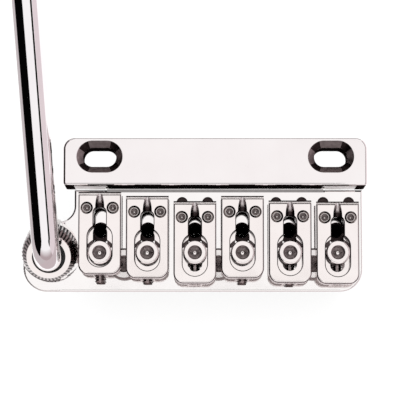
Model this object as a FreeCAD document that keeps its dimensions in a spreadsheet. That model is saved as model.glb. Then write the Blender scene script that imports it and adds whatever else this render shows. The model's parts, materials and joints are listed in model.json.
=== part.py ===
import FreeCAD, Part
import math
import os

import Sketcher

# Guitar tremolo bridge, left handed, in millimetres.
# The origin is midway between the two mounting slots, on the guitar's top.
# +X runs to the right seen from above, +Y towards the neck and +Z up off the guitar.
# A fixed bar is screwed to the guitar.
# A plate with six saddles and a sustain block tilts on an axle inside that bar.

# Driving dimensions: lengths in millimetres, angles in degrees, and a few counts.
DIMENSIONS = {
    # strings, numbered from the left
    "string_pitch": 10.8,
    "string_shift": 0.75,
    "string_hole_back": 16.6,
    "string_hole_radius": 1.55,
    "string_hole_bevel": 0.3,
    # front bar
    "bar_width": 69.6,
    "bar_front": 4.4,
    "bar_rear": 6.7,
    "bar_height": 8.0,
    "bar_front_round": 2.6,
    "bar_rear_round": 0.8,
    "bar_edge_round": 0.6,
    "slot_inset": 8.3,
    "slot_length": 7.6,
    "slot_width": 4.4,
    "slot_sink": 1.5,
    # hinge between bar and plate
    "hinge_back": 4.9,
    "hinge_height": 2.6,
    "axle_radius": 1.2,
    "axle_inset": 0.3,
    "axle_chamfer": 0.2,
    "barrel_radius": 2.0,
    "barrel_inset": 9.9,
    "bush_radius": 1.6,
    "bush_length": 6.0,
    "bush_flange_radius": 1.9,
    "bush_flange": 0.4,
    "bush_play": 0.1,
    "running_gap": 0.03,
    "channel_gap": 0.25,
    "channel_round": 1.2,
    # tilting plate
    "plate_half": 33.1,
    "plate_top": 4.2,
    "plate_thickness": 3.2,
    "plate_front": 7.3,
    "plate_rear": 30.7,
    "plate_corner": 5.2,
    "plate_edge_round": 0.45,
    "ear_reach": 6.35,
    "ear_front": 14.5,
    "ear_round": 6.8,
    "ear_corner": 5.5,
    "ear_throat": 3.5,
    "rest_groove_front": 8.9,
    "rest_groove_rear": 17.2,
    "rest_groove_width": 2.6,
    "rest_groove_depth": 0.8,
    # saddles
    "saddle_front": 8.4,
    "saddle_back_1": 0.0,
    "saddle_back_2": 0.9,
    "saddle_back_3": 2.1,
    "saddle_back_4": 0.9,
    "saddle_back_5": 1.95,
    "saddle_back_6": 2.2,
    "saddle_width": 9.7,
    "saddle_length": 18.8,
    "saddle_top": 11.2,
    "saddle_under": 7.3,
    "saddle_rear_round": 2.3,
    "saddle_front_bevel": 0.9,
    "saddle_edge_round": 0.4,
    "foot_side_wall": 0.3,
    "foot_clearance": 0.1,
    "foot_wall": 1.65,
    "foot_gap": 0.05,
    "neck_width": 2.9,
    "neck_front": 3.4,
    "pocket_width": 5.6,
    "pocket_travel": 4.0,
    "pocket_wall": 1.7,
    "pocket_depth": 2.5,
    "opening_bevel": 0.18,
    "shank_slot_width": 3.3,
    "string_groove_radius": 0.7,
    "string_groove_depth": 0.55,
    "ramp_front": 1.2,
    "ramp_length": 2.9,
    "ramp_angle": 22.0,
    # saddle screws
    "screw_gap": 0.2,
    "small_key": 1.3,
    "small_key_depth": 1.0,
    "small_chamfer": 0.2,
    "height_screw_radius": 1.2,
    "height_screw_spread": 2.95,
    "height_screw_front": 3.7,
    "height_screw_sink": 0.15,
    "height_tip_radius": 0.9,
    "height_tip_length": 0.8,
    "intonation_screw_radius": 1.2,
    "intonation_screw_length": 5.0,
    "intonation_screw_height": 7.15,
    "intonation_tip_radius": 0.6,
    "intonation_tip_length": 0.6,
    "intonation_slack_1": 0.05,
    "intonation_slack_2": 0.15,
    "intonation_slack_3": 0.05,
    "intonation_slack_4": 0.2,
    "intonation_slack_5": 0.65,
    "intonation_slack_6": 0.1,
    "clamp_lead": 0.4,
    "clamp_radius": 1.5,
    "clamp_head_radius": 2.7,
    "clamp_head": 3.0,
    "clamp_key": 2.5,
    "clamp_key_depth": 1.6,
    "clamp_chamfer": 0.25,
    "clamp_ease": 0.25,
    # sustain block and its screws
    "block_half": 30.5,
    "block_front": 12.9,
    "block_rear": 28.2,
    "block_height": 34.5,
    "block_taper": 4.0,
    "block_taper_height": 14.0,
    "block_corner": 1.5,
    "ball_bore_radius": 2.7,
    "ball_seat_depth": 9.0,
    "spring_hole_radius": 1.6,
    "spring_hole_depth": 9.0,
    "block_screw_back": 24.5,
    "block_screw_radius": 2.0,
    "block_screw_gap": 0.1,
    "block_screw_reach": 12.0,
    "block_head": 2.5,
    "block_key": 3.0,
    "block_key_depth": 1.5,
    "block_head_chamfer": 0.3,
    # arm post, on an axis that leans back
    "nut_clearance": 0.25,
    "post_back": 21.15,
    "post_height": 5.2,
    "post_lean_angle": 18.0,
    "boss_radius": 6.2,
    "boss_depth": 5.0,
    "seat_margin": 0.9,
    "socket_radius": 4.8,
    "socket_top": 5.0,
    "socket_depth": 7.0,
    "collet_radius": 3.9,
    "collet_depth": 2.2,
    "collet_flange_radius": 4.6,
    "collet_flange": 0.5,
    "nut_radius": 6.35,
    "nut_height": 7.0,
    "nut_cone": 3.0,
    "nut_flat_radius": 5.0,
    "nut_mouth_radius": 3.8,
    "nut_cap": 1.4,
    "nut_gap": 0.1,
    "knurl_depth": 0.45,
    "knurl_count": 44,
    # arm
    "arm_radius": 3.1,
    "arm_foot_gap": 0.2,
    "arm_bend_start": 7.1,
    "arm_bend_radius": 6.0,
    "arm_run": 62.0,
    "arm_second_radius": 60.0,
    "arm_second_angle": 10.0,
    "arm_tip_run": 58.0,
    "arm_tip_round": 2.6,
    "arm_foot_round": 0.6,
    "arm_swing_angle": 3.6,
    # every cut passes its faces by this much, and edges are found within this distance
    "overrun": 0.5,
    "reach_of_find": 0.01,
}

STRINGS = range(1, 7)
BLOCK_SCREW_PLACES = (-2, 0, 2)
SPRING_HOLE_PLACES = (-2, -1, 0, 1, 2)
HALF = 0.5
MIDDLE_STRING = (len(STRINGS) + 1) * HALF
HEX_CORNERS = 6
FULL_TURN = 360
RIGHT_ANGLE = 90


class Size:
    """A size that knows its number and the sheet expression that gives it."""

    def __init__(self, value, text):
        self.value = value
        self.text = text

    def joined(self, other, sign, value):
        return Size(value, f"({self.text} {sign} {other.text})")

    def __add__(self, other):
        other = as_size(other)
        return self.joined(other, "+", self.value + other.value)

    def __sub__(self, other):
        other = as_size(other)
        return self.joined(other, "-", self.value - other.value)

    def __mul__(self, other):
        other = as_size(other)
        return self.joined(other, "*", self.value * other.value)

    def __truediv__(self, other):
        other = as_size(other)
        return self.joined(other, "/", self.value / other.value)

    def __neg__(self):
        return Size(-self.value, f"(-1 * {self.text})")

    __rmul__ = __mul__


def as_size(number):
    """A plain number as a size with no cell behind it."""
    if isinstance(number, Size):
        return number
    return Size(number, f"({number!r})")


def cosine(angle):
    return Size(math.cos(math.radians(angle.value)), f"cos({angle.text})")


def sine(angle):
    return Size(math.sin(math.radians(angle.value)), f"sin({angle.text})")


doc = FreeCAD.newDocument("tremolo_bridge")
sheet = doc.addObject("Spreadsheet::Sheet", "Dims")
for row, (alias, number) in enumerate(DIMENSIONS.items(), start=1):
    sheet.set(f"A{row}", alias)
    sheet.set(f"B{row}", str(number))
    sheet.setAlias(f"B{row}", alias)
doc.recompute()


def dim(alias):
    """A driving dimension, read from the sheet."""
    return Size(float(sheet.get(alias)), f"Dims.{alias}")


ZERO = Size(0.0, "0")
OVER = dim("overrun")
parts = []


def bind(obj, prop, size):
    obj.setExpression(prop, as_size(size).text)


def place(obj, x=ZERO, y=ZERO, z=ZERO, axis=(0, 0, 1), angle=ZERO):
    """Turn an object about one axis and move it, both bound to the sheet."""
    spin = FreeCAD.Rotation(FreeCAD.Vector(*axis), angle.value)
    obj.Placement = FreeCAD.Placement(FreeCAD.Vector(x.value, y.value, z.value), spin)
    bind(obj, "Placement.Base.x", x)
    bind(obj, "Placement.Base.y", y)
    bind(obj, "Placement.Base.z", z)
    bind(obj, "Placement.Rotation.Angle", angle)


def on_post(obj, along=ZERO, swing=None):
    """Stand an object on the leaning arm post, at a distance along it, turned by a swing about it."""
    lean = dim("post_lean_angle")
    lean_turn = FreeCAD.Rotation(FreeCAD.Vector(1, 0, 0), lean.value)
    swing_turn = FreeCAD.Rotation(FreeCAD.Vector(0, 0, 1), swing.value if swing else 0)
    x = -post_left
    y = -dim("post_back") - along * sine(lean)
    z = dim("post_height") + along * cosine(lean)
    base = FreeCAD.Vector(x.value, y.value, z.value)
    obj.Placement = FreeCAD.Placement(base, lean_turn.multiply(swing_turn))
    bind(obj, "Placement.Base.x", x)
    bind(obj, "Placement.Base.y", y)
    bind(obj, "Placement.Base.z", z)


def new_body(label):
    body = doc.addObject("PartDesign::Body", label)
    body.Label = label
    return body


def new_sketch(body, name, plane, offset=ZERO):
    """A sketch on one of the body's own origin planes, moved along that plane's normal."""
    sketch = body.newObject("Sketcher::SketchObject", name)
    origin = [f for f in body.Origin.OriginFeatures if f.Role == plane]
    sketch.AttachmentSupport = (origin[0], [""])
    sketch.MapMode = "FlatFace"
    bind(sketch, "AttachmentOffset.Base.z", offset)
    return sketch


def pin(sketch, shape, point, x, y):
    """Fix one point of a sketch's shape to sizes of the sheet."""
    for kind, size in (("DistanceX", x), ("DistanceY", y)):
        size = as_size(size)
        rule = sketch.addConstraint(Sketcher.Constraint(kind, -1, 1, shape, point, size.value))
        sketch.setExpression(f"Constraints[{rule}]", size.text)


def flat(x, y):
    return FreeCAD.Vector(as_size(x).value, as_size(y).value, 0)


def polygon(sketch, corners):
    """A closed outline of straight sides."""
    first = sketch.GeometryCount
    count = len(corners)
    for i, corner in enumerate(corners):
        following = corners[(i + 1) % count]
        sketch.addGeometry(Part.LineSegment(flat(*corner), flat(*following)))
    for i, corner in enumerate(corners):
        after = first + (i + 1) % count
        sketch.addConstraint(Sketcher.Constraint("Coincident", first + i, 2, after, 1))
        pin(sketch, first + i, 1, *corner)


def circle(sketch, x, y, radius):
    shape = sketch.addGeometry(Part.Circle(flat(x, y), FreeCAD.Vector(0, 0, 1), radius.value))
    pin(sketch, shape, 3, x, y)
    rule = sketch.addConstraint(Sketcher.Constraint("Radius", shape, radius.value))
    sketch.setExpression(f"Constraints[{rule}]", radius.text)


def stadium(sketch, start, end, width):
    """A slot with round ends, whose two end circles have the given centres."""
    radius = width * HALF
    a, b = flat(*start), flat(*end)
    along = (b - a).normalize()
    side = FreeCAD.Vector(-along.y, along.x, 0)
    up = FreeCAD.Vector(0, 0, 1)
    turn = math.atan2(side.y, side.x)
    step = side * radius.value
    near = sketch.addGeometry(Part.ArcOfCircle(Part.Circle(a, up, radius.value), turn, turn + math.pi))
    right = sketch.addGeometry(Part.LineSegment(a - step, b - step))
    far = sketch.addGeometry(Part.ArcOfCircle(Part.Circle(b, up, radius.value), turn - math.pi, turn))
    left = sketch.addGeometry(Part.LineSegment(b + step, a + step))
    ring = (near, right, far, left)
    for i, shape in enumerate(ring):
        after = ring[(i + 1) % len(ring)]
        sketch.addConstraint(Sketcher.Constraint("Tangent", shape, 2, after, 1))
    pin(sketch, near, 3, *start)
    pin(sketch, far, 3, *end)
    rule = sketch.addConstraint(Sketcher.Constraint("Radius", near, radius.value))
    sketch.setExpression(f"Constraints[{rule}]", radius.text)
    sketch.addConstraint(Sketcher.Constraint("Equal", near, far))


def settle(body, feature):
    """Recompute, and stop at once if the feature failed."""
    doc.recompute()
    if "Invalid" in feature.State or "Error" in feature.State or feature.Shape.isNull():
        raise RuntimeError(f"{body.Label}: {feature.Name} failed")
    return feature


def pad(body, name, sketch, length):
    feature = body.newObject("PartDesign::Pad", name)
    feature.Profile = sketch
    bind(feature, "Length", length)
    return settle(body, feature)


def pocket(body, name, sketch, depth, forward=False):
    """Cut a sketch into the body, against the sketch's normal unless forward, and prove that it cut."""
    before = body.Shape.Volume
    feature = body.newObject("PartDesign::Pocket", name)
    feature.Profile = sketch
    feature.Reversed = forward
    bind(feature, "Length", depth)
    settle(body, feature)
    if body.Shape.Volume >= before:
        raise RuntimeError(f"{body.Label}: {name} cut nothing")
    return feature


def edge_names(feature, wanted):
    """The names of a feature's edges that pass a test of their end points and middle."""
    names = []
    for i, edge in enumerate(feature.Shape.Edges, start=1):
        points = [v.Point for v in edge.Vertexes]
        middle = edge.valueAt((edge.FirstParameter + edge.LastParameter) * HALF)
        if wanted(points + [middle]):
            names.append(f"Edge{i}")
    return names


def close(a, b):
    return abs(a - b) < dim("reach_of_find").value


def upright_at(x, y):
    """A test for the upright edge at one corner of an outline."""
    x, y = as_size(x).value, as_size(y).value
    return lambda points: all(close(p.x, x) and close(p.y, y) for p in points)


def at_height(z, keep):
    """A test for edges that lie at one height and whose points all pass another test."""
    z = as_size(z).value
    return lambda points: all(close(p.z, z) and keep(p) for p in points)


def dress(body, kind, name, feature, wanted, size):
    """Round or bevel the edges of a feature that pass a test."""
    names = edge_names(feature, wanted)
    if not names:
        raise RuntimeError(f"{body.Label}: {name} found no edge")
    dressed = body.newObject(f"PartDesign::{kind}", name)
    dressed.Base = (feature, names)
    bind(dressed, "Radius" if kind == "Fillet" else "Size", size)
    return settle(body, dressed)


def turned(label, profile):
    """A turned piece about +Z. The profile's corners are pairs of radius and height."""
    body = new_body(label)
    sketch = new_sketch(body, f"{label}_profile", "XZ_Plane")
    polygon(sketch, profile)
    spin = body.newObject("PartDesign::Revolution", f"{label}_turning")
    spin.Profile = sketch
    spin.ReferenceAxis = (sketch, ["V_Axis"])
    spin.Angle = FULL_TURN
    doc.recompute()
    return body


def key_socket(body, top, key, depth):
    """A hexagon socket cut down into a screw from its top, across flats by the key's size."""
    sketch = new_sketch(body, f"{body.Name}_key", "XY_Plane", top)
    corner = key * (HALF / math.cos(math.pi / HEX_CORNERS))
    turns = [2 * math.pi * i / HEX_CORNERS for i in range(HEX_CORNERS)]
    polygon(sketch, [(corner * math.cos(a), corner * math.sin(a)) for a in turns])
    pocket(body, f"{body.Name}_socket", sketch, depth)


def grub_screw(label, radius, length, tip_radius, tip_length):
    """A headless screw standing on its tip, with a key socket in its top."""
    chamfer = dim("small_chamfer")
    body = turned(
        label,
        [
            (ZERO, ZERO),
            (tip_radius, ZERO),
            (radius, tip_length),
            (radius, length - chamfer),
            (radius - chamfer, length),
            (ZERO, length),
        ],
    )
    key_socket(body, length, dim("small_key"), dim("small_key_depth"))
    return body


def cap_screw(label, radius, reach, head_radius, head, chamfer, key, key_depth):
    """A socket head screw whose head sits on the plane z = 0."""
    body = turned(
        label,
        [
            (ZERO, -reach),
            (radius, -reach),
            (radius, ZERO),
            (head_radius, ZERO),
            (head_radius, head - chamfer),
            (head_radius - chamfer, head),
            (ZERO, head),
        ],
    )
    key_socket(body, head, key, key_depth)
    return body


def keep_part(obj):
    """Hand an object on as a finished sub-part."""
    parts.append(obj)
    return obj


def group(label, members):
    """Identical fasteners as one sub-part of separate solids."""
    compound = doc.addObject("Part::Compound", label)
    compound.Label = label
    compound.Links = members
    return keep_part(compound)


def string_x(number):
    """The X place of a string, counted from the left."""
    return dim("string_shift") + dim("string_pitch") * (number - MIDDLE_STRING)


def between_x(place_number):
    """The X place midway between two strings, counted from the middle pair."""
    return dim("string_shift") + dim("string_pitch") * place_number


plate_bottom = dim("plate_top") - dim("plate_thickness")
bar_half = dim("bar_width") * HALF
barrel_half = bar_half - dim("barrel_inset")
channel_half = barrel_half + dim("bush_flange") + dim("bush_play")
pocket_floor = dim("saddle_top") - dim("pocket_depth")
head_seat = pocket_floor + dim("clamp_ease")
groove_floor = dim("plate_top") - dim("rest_groove_depth")
# the nut stands clear of the first saddle's side, and the ear reaches past the post
post_left = dim("saddle_width") * HALF + dim("nut_clearance") + dim("nut_radius") - string_x(STRINGS[0])
# a saddle's pocket is placed from its rear wall, and the clamp screws stand near the foremost pocket's rear
pocket_rear = dim("saddle_length") - dim("pocket_wall")
pocket_front = pocket_rear - dim("pocket_width") - dim("pocket_travel")
clamp_back = dim("saddle_front") + pocket_rear - dim("pocket_width") * HALF - dim("clamp_lead")
# the foot is as wide as the screw hole through it needs, and the block screws' heads fit between the feet
foot_half = dim("intonation_screw_radius") + dim("screw_gap") + dim("foot_side_wall")
block_head_radius = dim("string_pitch") * HALF - foot_half - dim("foot_clearance")


def make_front_bar():
    """The fixed bar: two countersunk slots, a channel for the hinge barrel and an axle bore."""
    body = new_body("front_bar")
    half = bar_half
    front, rear, top = dim("bar_front"), -dim("bar_rear"), dim("bar_height")
    outline = new_sketch(body, "bar_outline", "XY_Plane")
    polygon(outline, [(-half, rear), (half, rear), (half, front), (-half, front)])
    feature = pad(body, "bar_blank", outline, top)
    for side, sign in (("left", -1), ("right", 1)):
        for end, y in (("front", front), ("rear", rear)):
            corner = upright_at(half * sign, y)
            feature = dress(body, "Fillet", f"bar_{side}_{end}", feature, corner, dim(f"bar_{end}_round"))
    feature = dress(
        body, "Fillet", "bar_top_edge", feature, at_height(top, lambda p: True), dim("bar_edge_round")
    )
    slots = new_sketch(body, "bar_slots", "XY_Plane", top)
    straight = (dim("slot_length") - dim("slot_width")) * HALF
    for sign in (-1, 1):
        middle = (half - dim("slot_inset")) * sign
        stadium(slots, (middle - straight, ZERO), (middle + straight, ZERO), dim("slot_width"))
    feature = pocket(body, "bar_slot_cut", slots, top + OVER)
    reach = dim("slot_width").value * HALF + OVER.value
    rim = at_height(top, lambda p: abs(p.y) < reach)
    dress(body, "Chamfer", "bar_slot_sink", feature, rim, dim("slot_sink"))
    channel = new_sketch(body, "bar_channel", "YZ_Plane", channel_half)
    channel_front = dim("barrel_radius") + dim("channel_gap") - dim("hinge_back")
    ceiling = dim("hinge_height") + dim("barrel_radius") + dim("channel_gap")
    behind = rear - OVER
    polygon(channel, [(behind, -OVER), (channel_front, -OVER), (channel_front, ceiling), (behind, ceiling)])
    feature = pocket(body, "bar_channel_cut", channel, channel_half * 2)
    front_y, ceiling_z = channel_front.value, ceiling.value
    inner = lambda points: all(close(p.y, front_y) and close(p.z, ceiling_z) for p in points)
    dress(body, "Fillet", "bar_channel_round", feature, inner, dim("channel_round"))
    bore = new_sketch(body, "bar_axle_bore", "YZ_Plane", half + OVER)
    circle(bore, -dim("hinge_back"), dim("hinge_height"), dim("axle_radius"))
    pocket(body, "bar_axle_cut", bore, (half + OVER) * 2)
    return keep_part(body)


def make_hinge():
    """The axle pressed into the bar, and the two flanged bushes that the plate's barrel turns on."""
    radius, chamfer = dim("axle_radius"), dim("axle_chamfer")
    half = bar_half - dim("axle_inset")
    axle = turned(
        "hinge_axle",
        [
            (ZERO, -half),
            (radius - chamfer, -half),
            (radius, chamfer - half),
            (radius, half - chamfer),
            (radius - chamfer, half),
            (ZERO, half),
        ],
    )
    lying = as_size(RIGHT_ANGLE)
    place(axle, y=-dim("hinge_back"), z=dim("hinge_height"), axis=(0, 1, 0), angle=lying)
    keep_part(axle)
    bore, outer = radius + dim("running_gap"), dim("bush_radius")
    flange, flange_radius = dim("bush_flange"), dim("bush_flange_radius")
    bushes = []
    for side, sign in (("left", -1), ("right", 1)):
        bush = turned(
            f"bush_{side}",
            [
                (bore, -dim("bush_length")),
                (outer, -dim("bush_length")),
                (outer, ZERO),
                (flange_radius, ZERO),
                (flange_radius, flange),
                (bore, flange),
            ],
        )
        x = barrel_half * sign
        place(bush, x=x, y=-dim("hinge_back"), z=dim("hinge_height"), axis=(0, sign, 0), angle=lying)
        bushes.append(bush)
    group("hinge_bushes", bushes)


def make_bridge_plate():
    """The tilting plate: hinge barrel in front, an ear on the left for the arm, holes and rest grooves."""
    body = new_body("bridge_plate")
    shift, half = dim("string_shift"), dim("plate_half")
    left, right = shift - half, shift + half
    front, rear = -dim("plate_front"), -dim("plate_rear")
    ear_left, ear_front = -post_left - dim("ear_reach"), -dim("ear_front")
    barrel, hinge_y = barrel_half, -dim("hinge_back")
    top = dim("plate_top")
    outline = new_sketch(body, "plate_outline", "XY_Plane", plate_bottom)
    polygon(
        outline,
        [
            (left, front),
            (left, ear_front),
            (ear_left, ear_front),
            (ear_left, rear),
            (right, rear),
            (right, front),
            (barrel, front),
            (barrel, hinge_y),
            (-barrel, hinge_y),
            (-barrel, front),
        ],
    )
    feature = pad(body, "plate_blank", outline, dim("plate_thickness"))
    corners = (
        ("throat", left, ear_front, "ear_throat"),
        ("ear", ear_left, ear_front, "ear_round"),
        ("ear_rear", ear_left, rear, "ear_corner"),
        ("rear", right, rear, "plate_corner"),
    )
    for name, x, y, radius in corners:
        feature = dress(body, "Fillet", f"plate_{name}_round", feature, upright_at(x, y), dim(radius))
    front_y = front.value + dim("reach_of_find").value
    outside = at_height(top, lambda p: p.y < front_y)
    feature = dress(body, "Fillet", "plate_top_edge", feature, outside, dim("plate_edge_round"))
    barrel_end = new_sketch(body, "plate_barrel", "YZ_Plane", -barrel)
    circle(barrel_end, hinge_y, dim("hinge_height"), dim("barrel_radius"))
    pad(body, "plate_barrel_pad", barrel_end, barrel * 2)
    bore = new_sketch(body, "plate_barrel_bore", "YZ_Plane", barrel + OVER)
    circle(bore, hinge_y, dim("hinge_height"), dim("bush_radius"))
    pocket(body, "plate_barrel_cut", bore, (barrel + OVER) * 2)
    add_arm_boss(body)
    holes = new_sketch(body, "plate_holes", "XY_Plane", top)
    for number in STRINGS:
        circle(holes, string_x(number), -dim("string_hole_back"), dim("string_hole_radius"))
        circle(holes, string_x(number), -clamp_back, dim("clamp_radius"))
    for number in BLOCK_SCREW_PLACES:
        shank = dim("block_screw_radius") + dim("block_screw_gap")
        circle(holes, between_x(number), -dim("block_screw_back"), shank)
    feature = pocket(body, "plate_hole_cut", holes, dim("plate_thickness") + OVER)
    mouth_y = -dim("string_hole_back").value
    mouth_reach = (dim("string_hole_radius") + dim("reach_of_find")).value
    mouths = at_height(top, lambda p: abs(p.y - mouth_y) < mouth_reach)
    dress(body, "Chamfer", "plate_string_mouths", feature, mouths, dim("string_hole_bevel"))
    grooves = new_sketch(body, "plate_rest_grooves", "XY_Plane", top)
    end = dim("rest_groove_width") * HALF
    groove_front, groove_rear = end + dim("rest_groove_front"), dim("rest_groove_rear") - end
    for number in STRINGS:
        for sign in (-1, 1):
            x = string_x(number) + dim("height_screw_spread") * sign
            stadium(grooves, (x, -groove_front), (x, -groove_rear), dim("rest_groove_width"))
    pocket(body, "plate_groove_cut", grooves, dim("rest_groove_depth"))
    return keep_part(body)


def add_arm_boss(body):
    """The leaning boss on the ear, faced square to the arm post and bored for the socket."""
    boss = body.newObject("PartDesign::AdditiveCylinder", "boss")
    bind(boss, "Radius", dim("boss_radius"))
    bind(boss, "Height", dim("boss_depth"))
    on_post(boss, -dim("boss_depth"))
    doc.recompute()
    trim = body.newObject("PartDesign::SubtractiveBox", "boss_trim")
    size = dim("boss_radius") * 2 + dim("boss_depth")
    for prop in ("Length", "Width", "Height"):
        bind(trim, prop, size)
    place(
        trim,
        x=-post_left - size * HALF,
        y=-dim("post_back") - size * HALF,
        z=plate_bottom - size,
    )
    doc.recompute()
    seat = body.newObject("PartDesign::SubtractiveCylinder", "boss_seat")
    bind(seat, "Radius", dim("nut_radius") + dim("seat_margin"))
    bind(seat, "Height", dim("nut_height"))
    on_post(seat)
    doc.recompute()
    bore = body.newObject("PartDesign::SubtractiveCylinder", "boss_bore")
    bind(bore, "Radius", dim("socket_radius"))
    bind(bore, "Height", dim("socket_depth") * 2)
    on_post(bore, -dim("socket_depth"))
    doc.recompute()


def make_sustain_block():
    """The block under the plate: string bores with ball seats, screw holes above and spring holes below."""
    body = new_body("sustain_block")
    top, bottom = plate_bottom, plate_bottom - dim("block_height")
    half = dim("block_half")
    side = new_sketch(body, "block_side", "YZ_Plane", dim("string_shift") - half)
    front, rear = -dim("block_front"), -dim("block_rear")
    taper_rear, taper_top = rear + dim("block_taper"), bottom + dim("block_taper_height")
    polygon(side, [(front, top), (rear, top), (rear, taper_top), (taper_rear, bottom), (front, bottom)])
    feature = pad(body, "block_blank", side, half * 2)
    for name, x in (("left", dim("string_shift") - half), ("right", dim("string_shift") + half)):
        corner = upright_at(x, front)
        feature = dress(body, "Fillet", f"block_{name}_front", feature, corner, dim("block_corner"))
    from_top = new_sketch(body, "block_top_holes", "XY_Plane", top)
    for number in BLOCK_SCREW_PLACES:
        circle(from_top, between_x(number), -dim("block_screw_back"), dim("block_screw_radius"))
    pocket(body, "block_top_cut", from_top, dim("block_screw_reach") - dim("plate_thickness") + OVER)
    strings = new_sketch(body, "block_string_holes", "XY_Plane", top)
    balls = new_sketch(body, "block_ball_bores", "XY_Plane", bottom)
    for number in STRINGS:
        circle(strings, string_x(number), -dim("string_hole_back"), dim("string_hole_radius"))
        circle(balls, string_x(number), -dim("string_hole_back"), dim("ball_bore_radius"))
    pocket(body, "block_string_cut", strings, dim("block_height") + OVER)
    pocket(body, "block_ball_cut", balls, dim("block_height") - dim("ball_seat_depth"), forward=True)
    springs = new_sketch(body, "block_spring_holes", "XY_Plane", bottom)
    middle = (front + taper_rear) * HALF
    for number in SPRING_HOLE_PLACES:
        circle(springs, between_x(number), middle, dim("spring_hole_radius"))
    pocket(body, "block_spring_cut", springs, dim("spring_hole_depth"), forward=True)
    return keep_part(body)


def make_block_screws():
    """The three low head screws that hold the block under the plate."""
    screws = []
    for i, number in enumerate(BLOCK_SCREW_PLACES, start=1):
        screw = cap_screw(
            f"block_screw_{i}",
            dim("block_screw_radius"),
            dim("block_screw_reach"),
            block_head_radius,
            dim("block_head"),
            dim("block_head_chamfer"),
            dim("block_key"),
            dim("block_key_depth"),
        )
        place(screw, x=between_x(number), y=-dim("block_screw_back"), z=dim("plate_top"))
        screws.append(screw)
    group("block_screws", screws)


def make_saddle(number):
    """One saddle: a slab with a bottle shaped opening, a string groove in front and a foot behind."""
    label = f"saddle_{number}"
    body = new_body(label)
    half, length = dim("saddle_width") * HALF, dim("saddle_length")
    top, under = dim("saddle_top"), dim("saddle_under")
    outline = new_sketch(body, f"{label}_outline", "XY_Plane", under)
    polygon(outline, [(-half, -length), (half, -length), (half, ZERO), (-half, ZERO)])
    feature = pad(body, f"{label}_blank", outline, top - under)
    for side, sign in (("left", -1), ("right", 1)):
        corner = upright_at(half * sign, -length)
        feature = dress(body, "Fillet", f"{label}_{side}_rear", feature, corner, dim("saddle_rear_round"))
    lip = at_height(top, lambda p: close(p.y, 0))
    feature = dress(body, "Chamfer", f"{label}_lip", feature, lip, dim("saddle_front_bevel"))
    behind = -dim("saddle_front_bevel").value - dim("reach_of_find").value
    rim = at_height(top, lambda p: True)
    sides = lambda points: rim(points) and min(p.y for p in points) < behind
    dress(body, "Fillet", f"{label}_rim", feature, sides, dim("saddle_edge_round"))
    add_saddle_foot(body, label)
    cut_saddle_opening(body, label)
    cut_saddle_string_way(body, label)
    cut_saddle_screw_holes(body, label)
    place(body, x=string_x(number), y=-dim("saddle_front") - dim(f"saddle_back_{number}"))
    return keep_part(body)


def add_saddle_foot(body, label):
    """The narrow rear foot, round below, which clears the block screws and rests on the plate."""
    half, length, wall = foot_half, dim("saddle_length"), dim("foot_wall")
    bottom = dim("plate_top") + dim("foot_gap")
    waist = dim("saddle_under") + OVER
    side = new_sketch(body, f"{label}_foot", "YZ_Plane", -half)
    polygon(side, [(-length, bottom), (wall - length, bottom), (wall - length, waist), (-length, waist)])
    feature = pad(body, f"{label}_foot_pad", side, half * 2)
    low = at_height(bottom, lambda p: True)
    across = lambda points: low(points) and close(points[0].y, points[1].y)
    dress(body, "Fillet", f"{label}_foot_round", feature, across, wall * HALF - dim("reach_of_find"))


def cut_saddle_opening(body, label):
    """The bottle shape: a pocket for the clamp head, a slot for its shank and a neck for the string."""
    top = dim("saddle_top")
    through = top - dim("saddle_under") + OVER
    pocket_end = dim("pocket_width") * HALF
    slot_end = dim("shank_slot_width") * HALF
    neck_end = dim("neck_width") * HALF
    head_rear = pocket_end - pocket_rear
    head_front = -pocket_front - pocket_end
    wide = new_sketch(body, f"{label}_pocket", "XY_Plane", top)
    stadium(wide, (ZERO, head_rear), (ZERO, head_front), dim("pocket_width"))
    pocket(body, f"{label}_pocket_cut", wide, dim("pocket_depth"))
    slot = new_sketch(body, f"{label}_slot", "XY_Plane", top)
    slot_front = -pocket_front - slot_end
    stadium(slot, (ZERO, head_rear), (ZERO, slot_front), dim("shank_slot_width"))
    pocket(body, f"{label}_slot_cut", slot, through)
    neck = new_sketch(body, f"{label}_neck", "XY_Plane", top)
    neck_front = -dim("neck_front") - neck_end
    stadium(neck, (ZERO, slot_front), (ZERO, neck_front), dim("neck_width"))
    feature = pocket(body, f"{label}_neck_cut", neck, through)
    find = dim("reach_of_find")
    side, rear = (pocket_end + find).value, -(pocket_rear + find).value
    front = -(dim("saddle_front_bevel") + find).value
    rim = at_height(top, lambda p: abs(p.x) < side and rear < p.y < front)
    dress(body, "Chamfer", f"{label}_opening_bevel", feature, rim, dim("opening_bevel"))


def cut_saddle_string_way(body, label):
    """The round string groove over the lip, and the flared ramp from it down into the neck."""
    groove = new_sketch(body, f"{label}_groove", "XZ_Plane")
    radius, top = dim("string_groove_radius"), dim("saddle_top")
    circle(groove, ZERO, top - dim("string_groove_depth") + radius, radius)
    back = dim("neck_front") + dim("neck_width") * HALF
    pocket(body, f"{label}_groove_cut", groove, back, forward=True)
    ramp = body.newObject("PartDesign::SubtractiveCone", f"{label}_ramp")
    bind(ramp, "Radius1", radius)
    bind(ramp, "Radius2", dim("neck_width") * HALF)
    bind(ramp, "Height", dim("ramp_length"))
    start = top - dim("string_groove_depth") + radius
    tip = dim("ramp_angle") + RIGHT_ANGLE
    place(ramp, y=-dim("ramp_front"), z=start, axis=(1, 0, 0), angle=tip)
    doc.recompute()


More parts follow.
